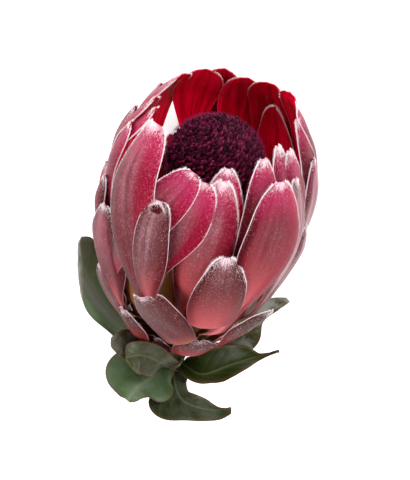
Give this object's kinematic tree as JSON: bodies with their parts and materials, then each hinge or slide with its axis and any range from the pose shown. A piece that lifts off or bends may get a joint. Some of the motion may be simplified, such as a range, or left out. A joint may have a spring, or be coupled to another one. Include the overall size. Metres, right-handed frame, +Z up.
{
  "type": "protea flower",
  "caption": "Cut protea bloom lying on its side: a goblet of overlapping pink bracts round a dome of dark florets, with a short leafy stem.",
  "frame": {"origin": "centre of the bounding box at the surface that the flower lies on", "axes": "+Z up, +Y along the stem towards the open end of the bloom"},
  "size_m": [0.0823, 0.1516, 0.0882],
  "materials": {
    "bract": "silky matt, rose-pink with fine grey down and white-haired margins",
    "floret": "velvety, dark purple",
    "stem": "matt green-brown bark",
    "leaf": "satin, waxy grey-green with red-brown margins"
  },
  "bodies": {
    "root": {"bracts": "bract", "florets": "floret", "stem": "stem", "leaf_1": "leaf", "leaf_2": "leaf", "leaf_3": "leaf", "leaf_4": "leaf", "leaf_5": "leaf", "leaf_6": "leaf", "leaf_7": "leaf", "leaf_8": "leaf", "leaf_9": "leaf"}
  },
  "joints": []
}
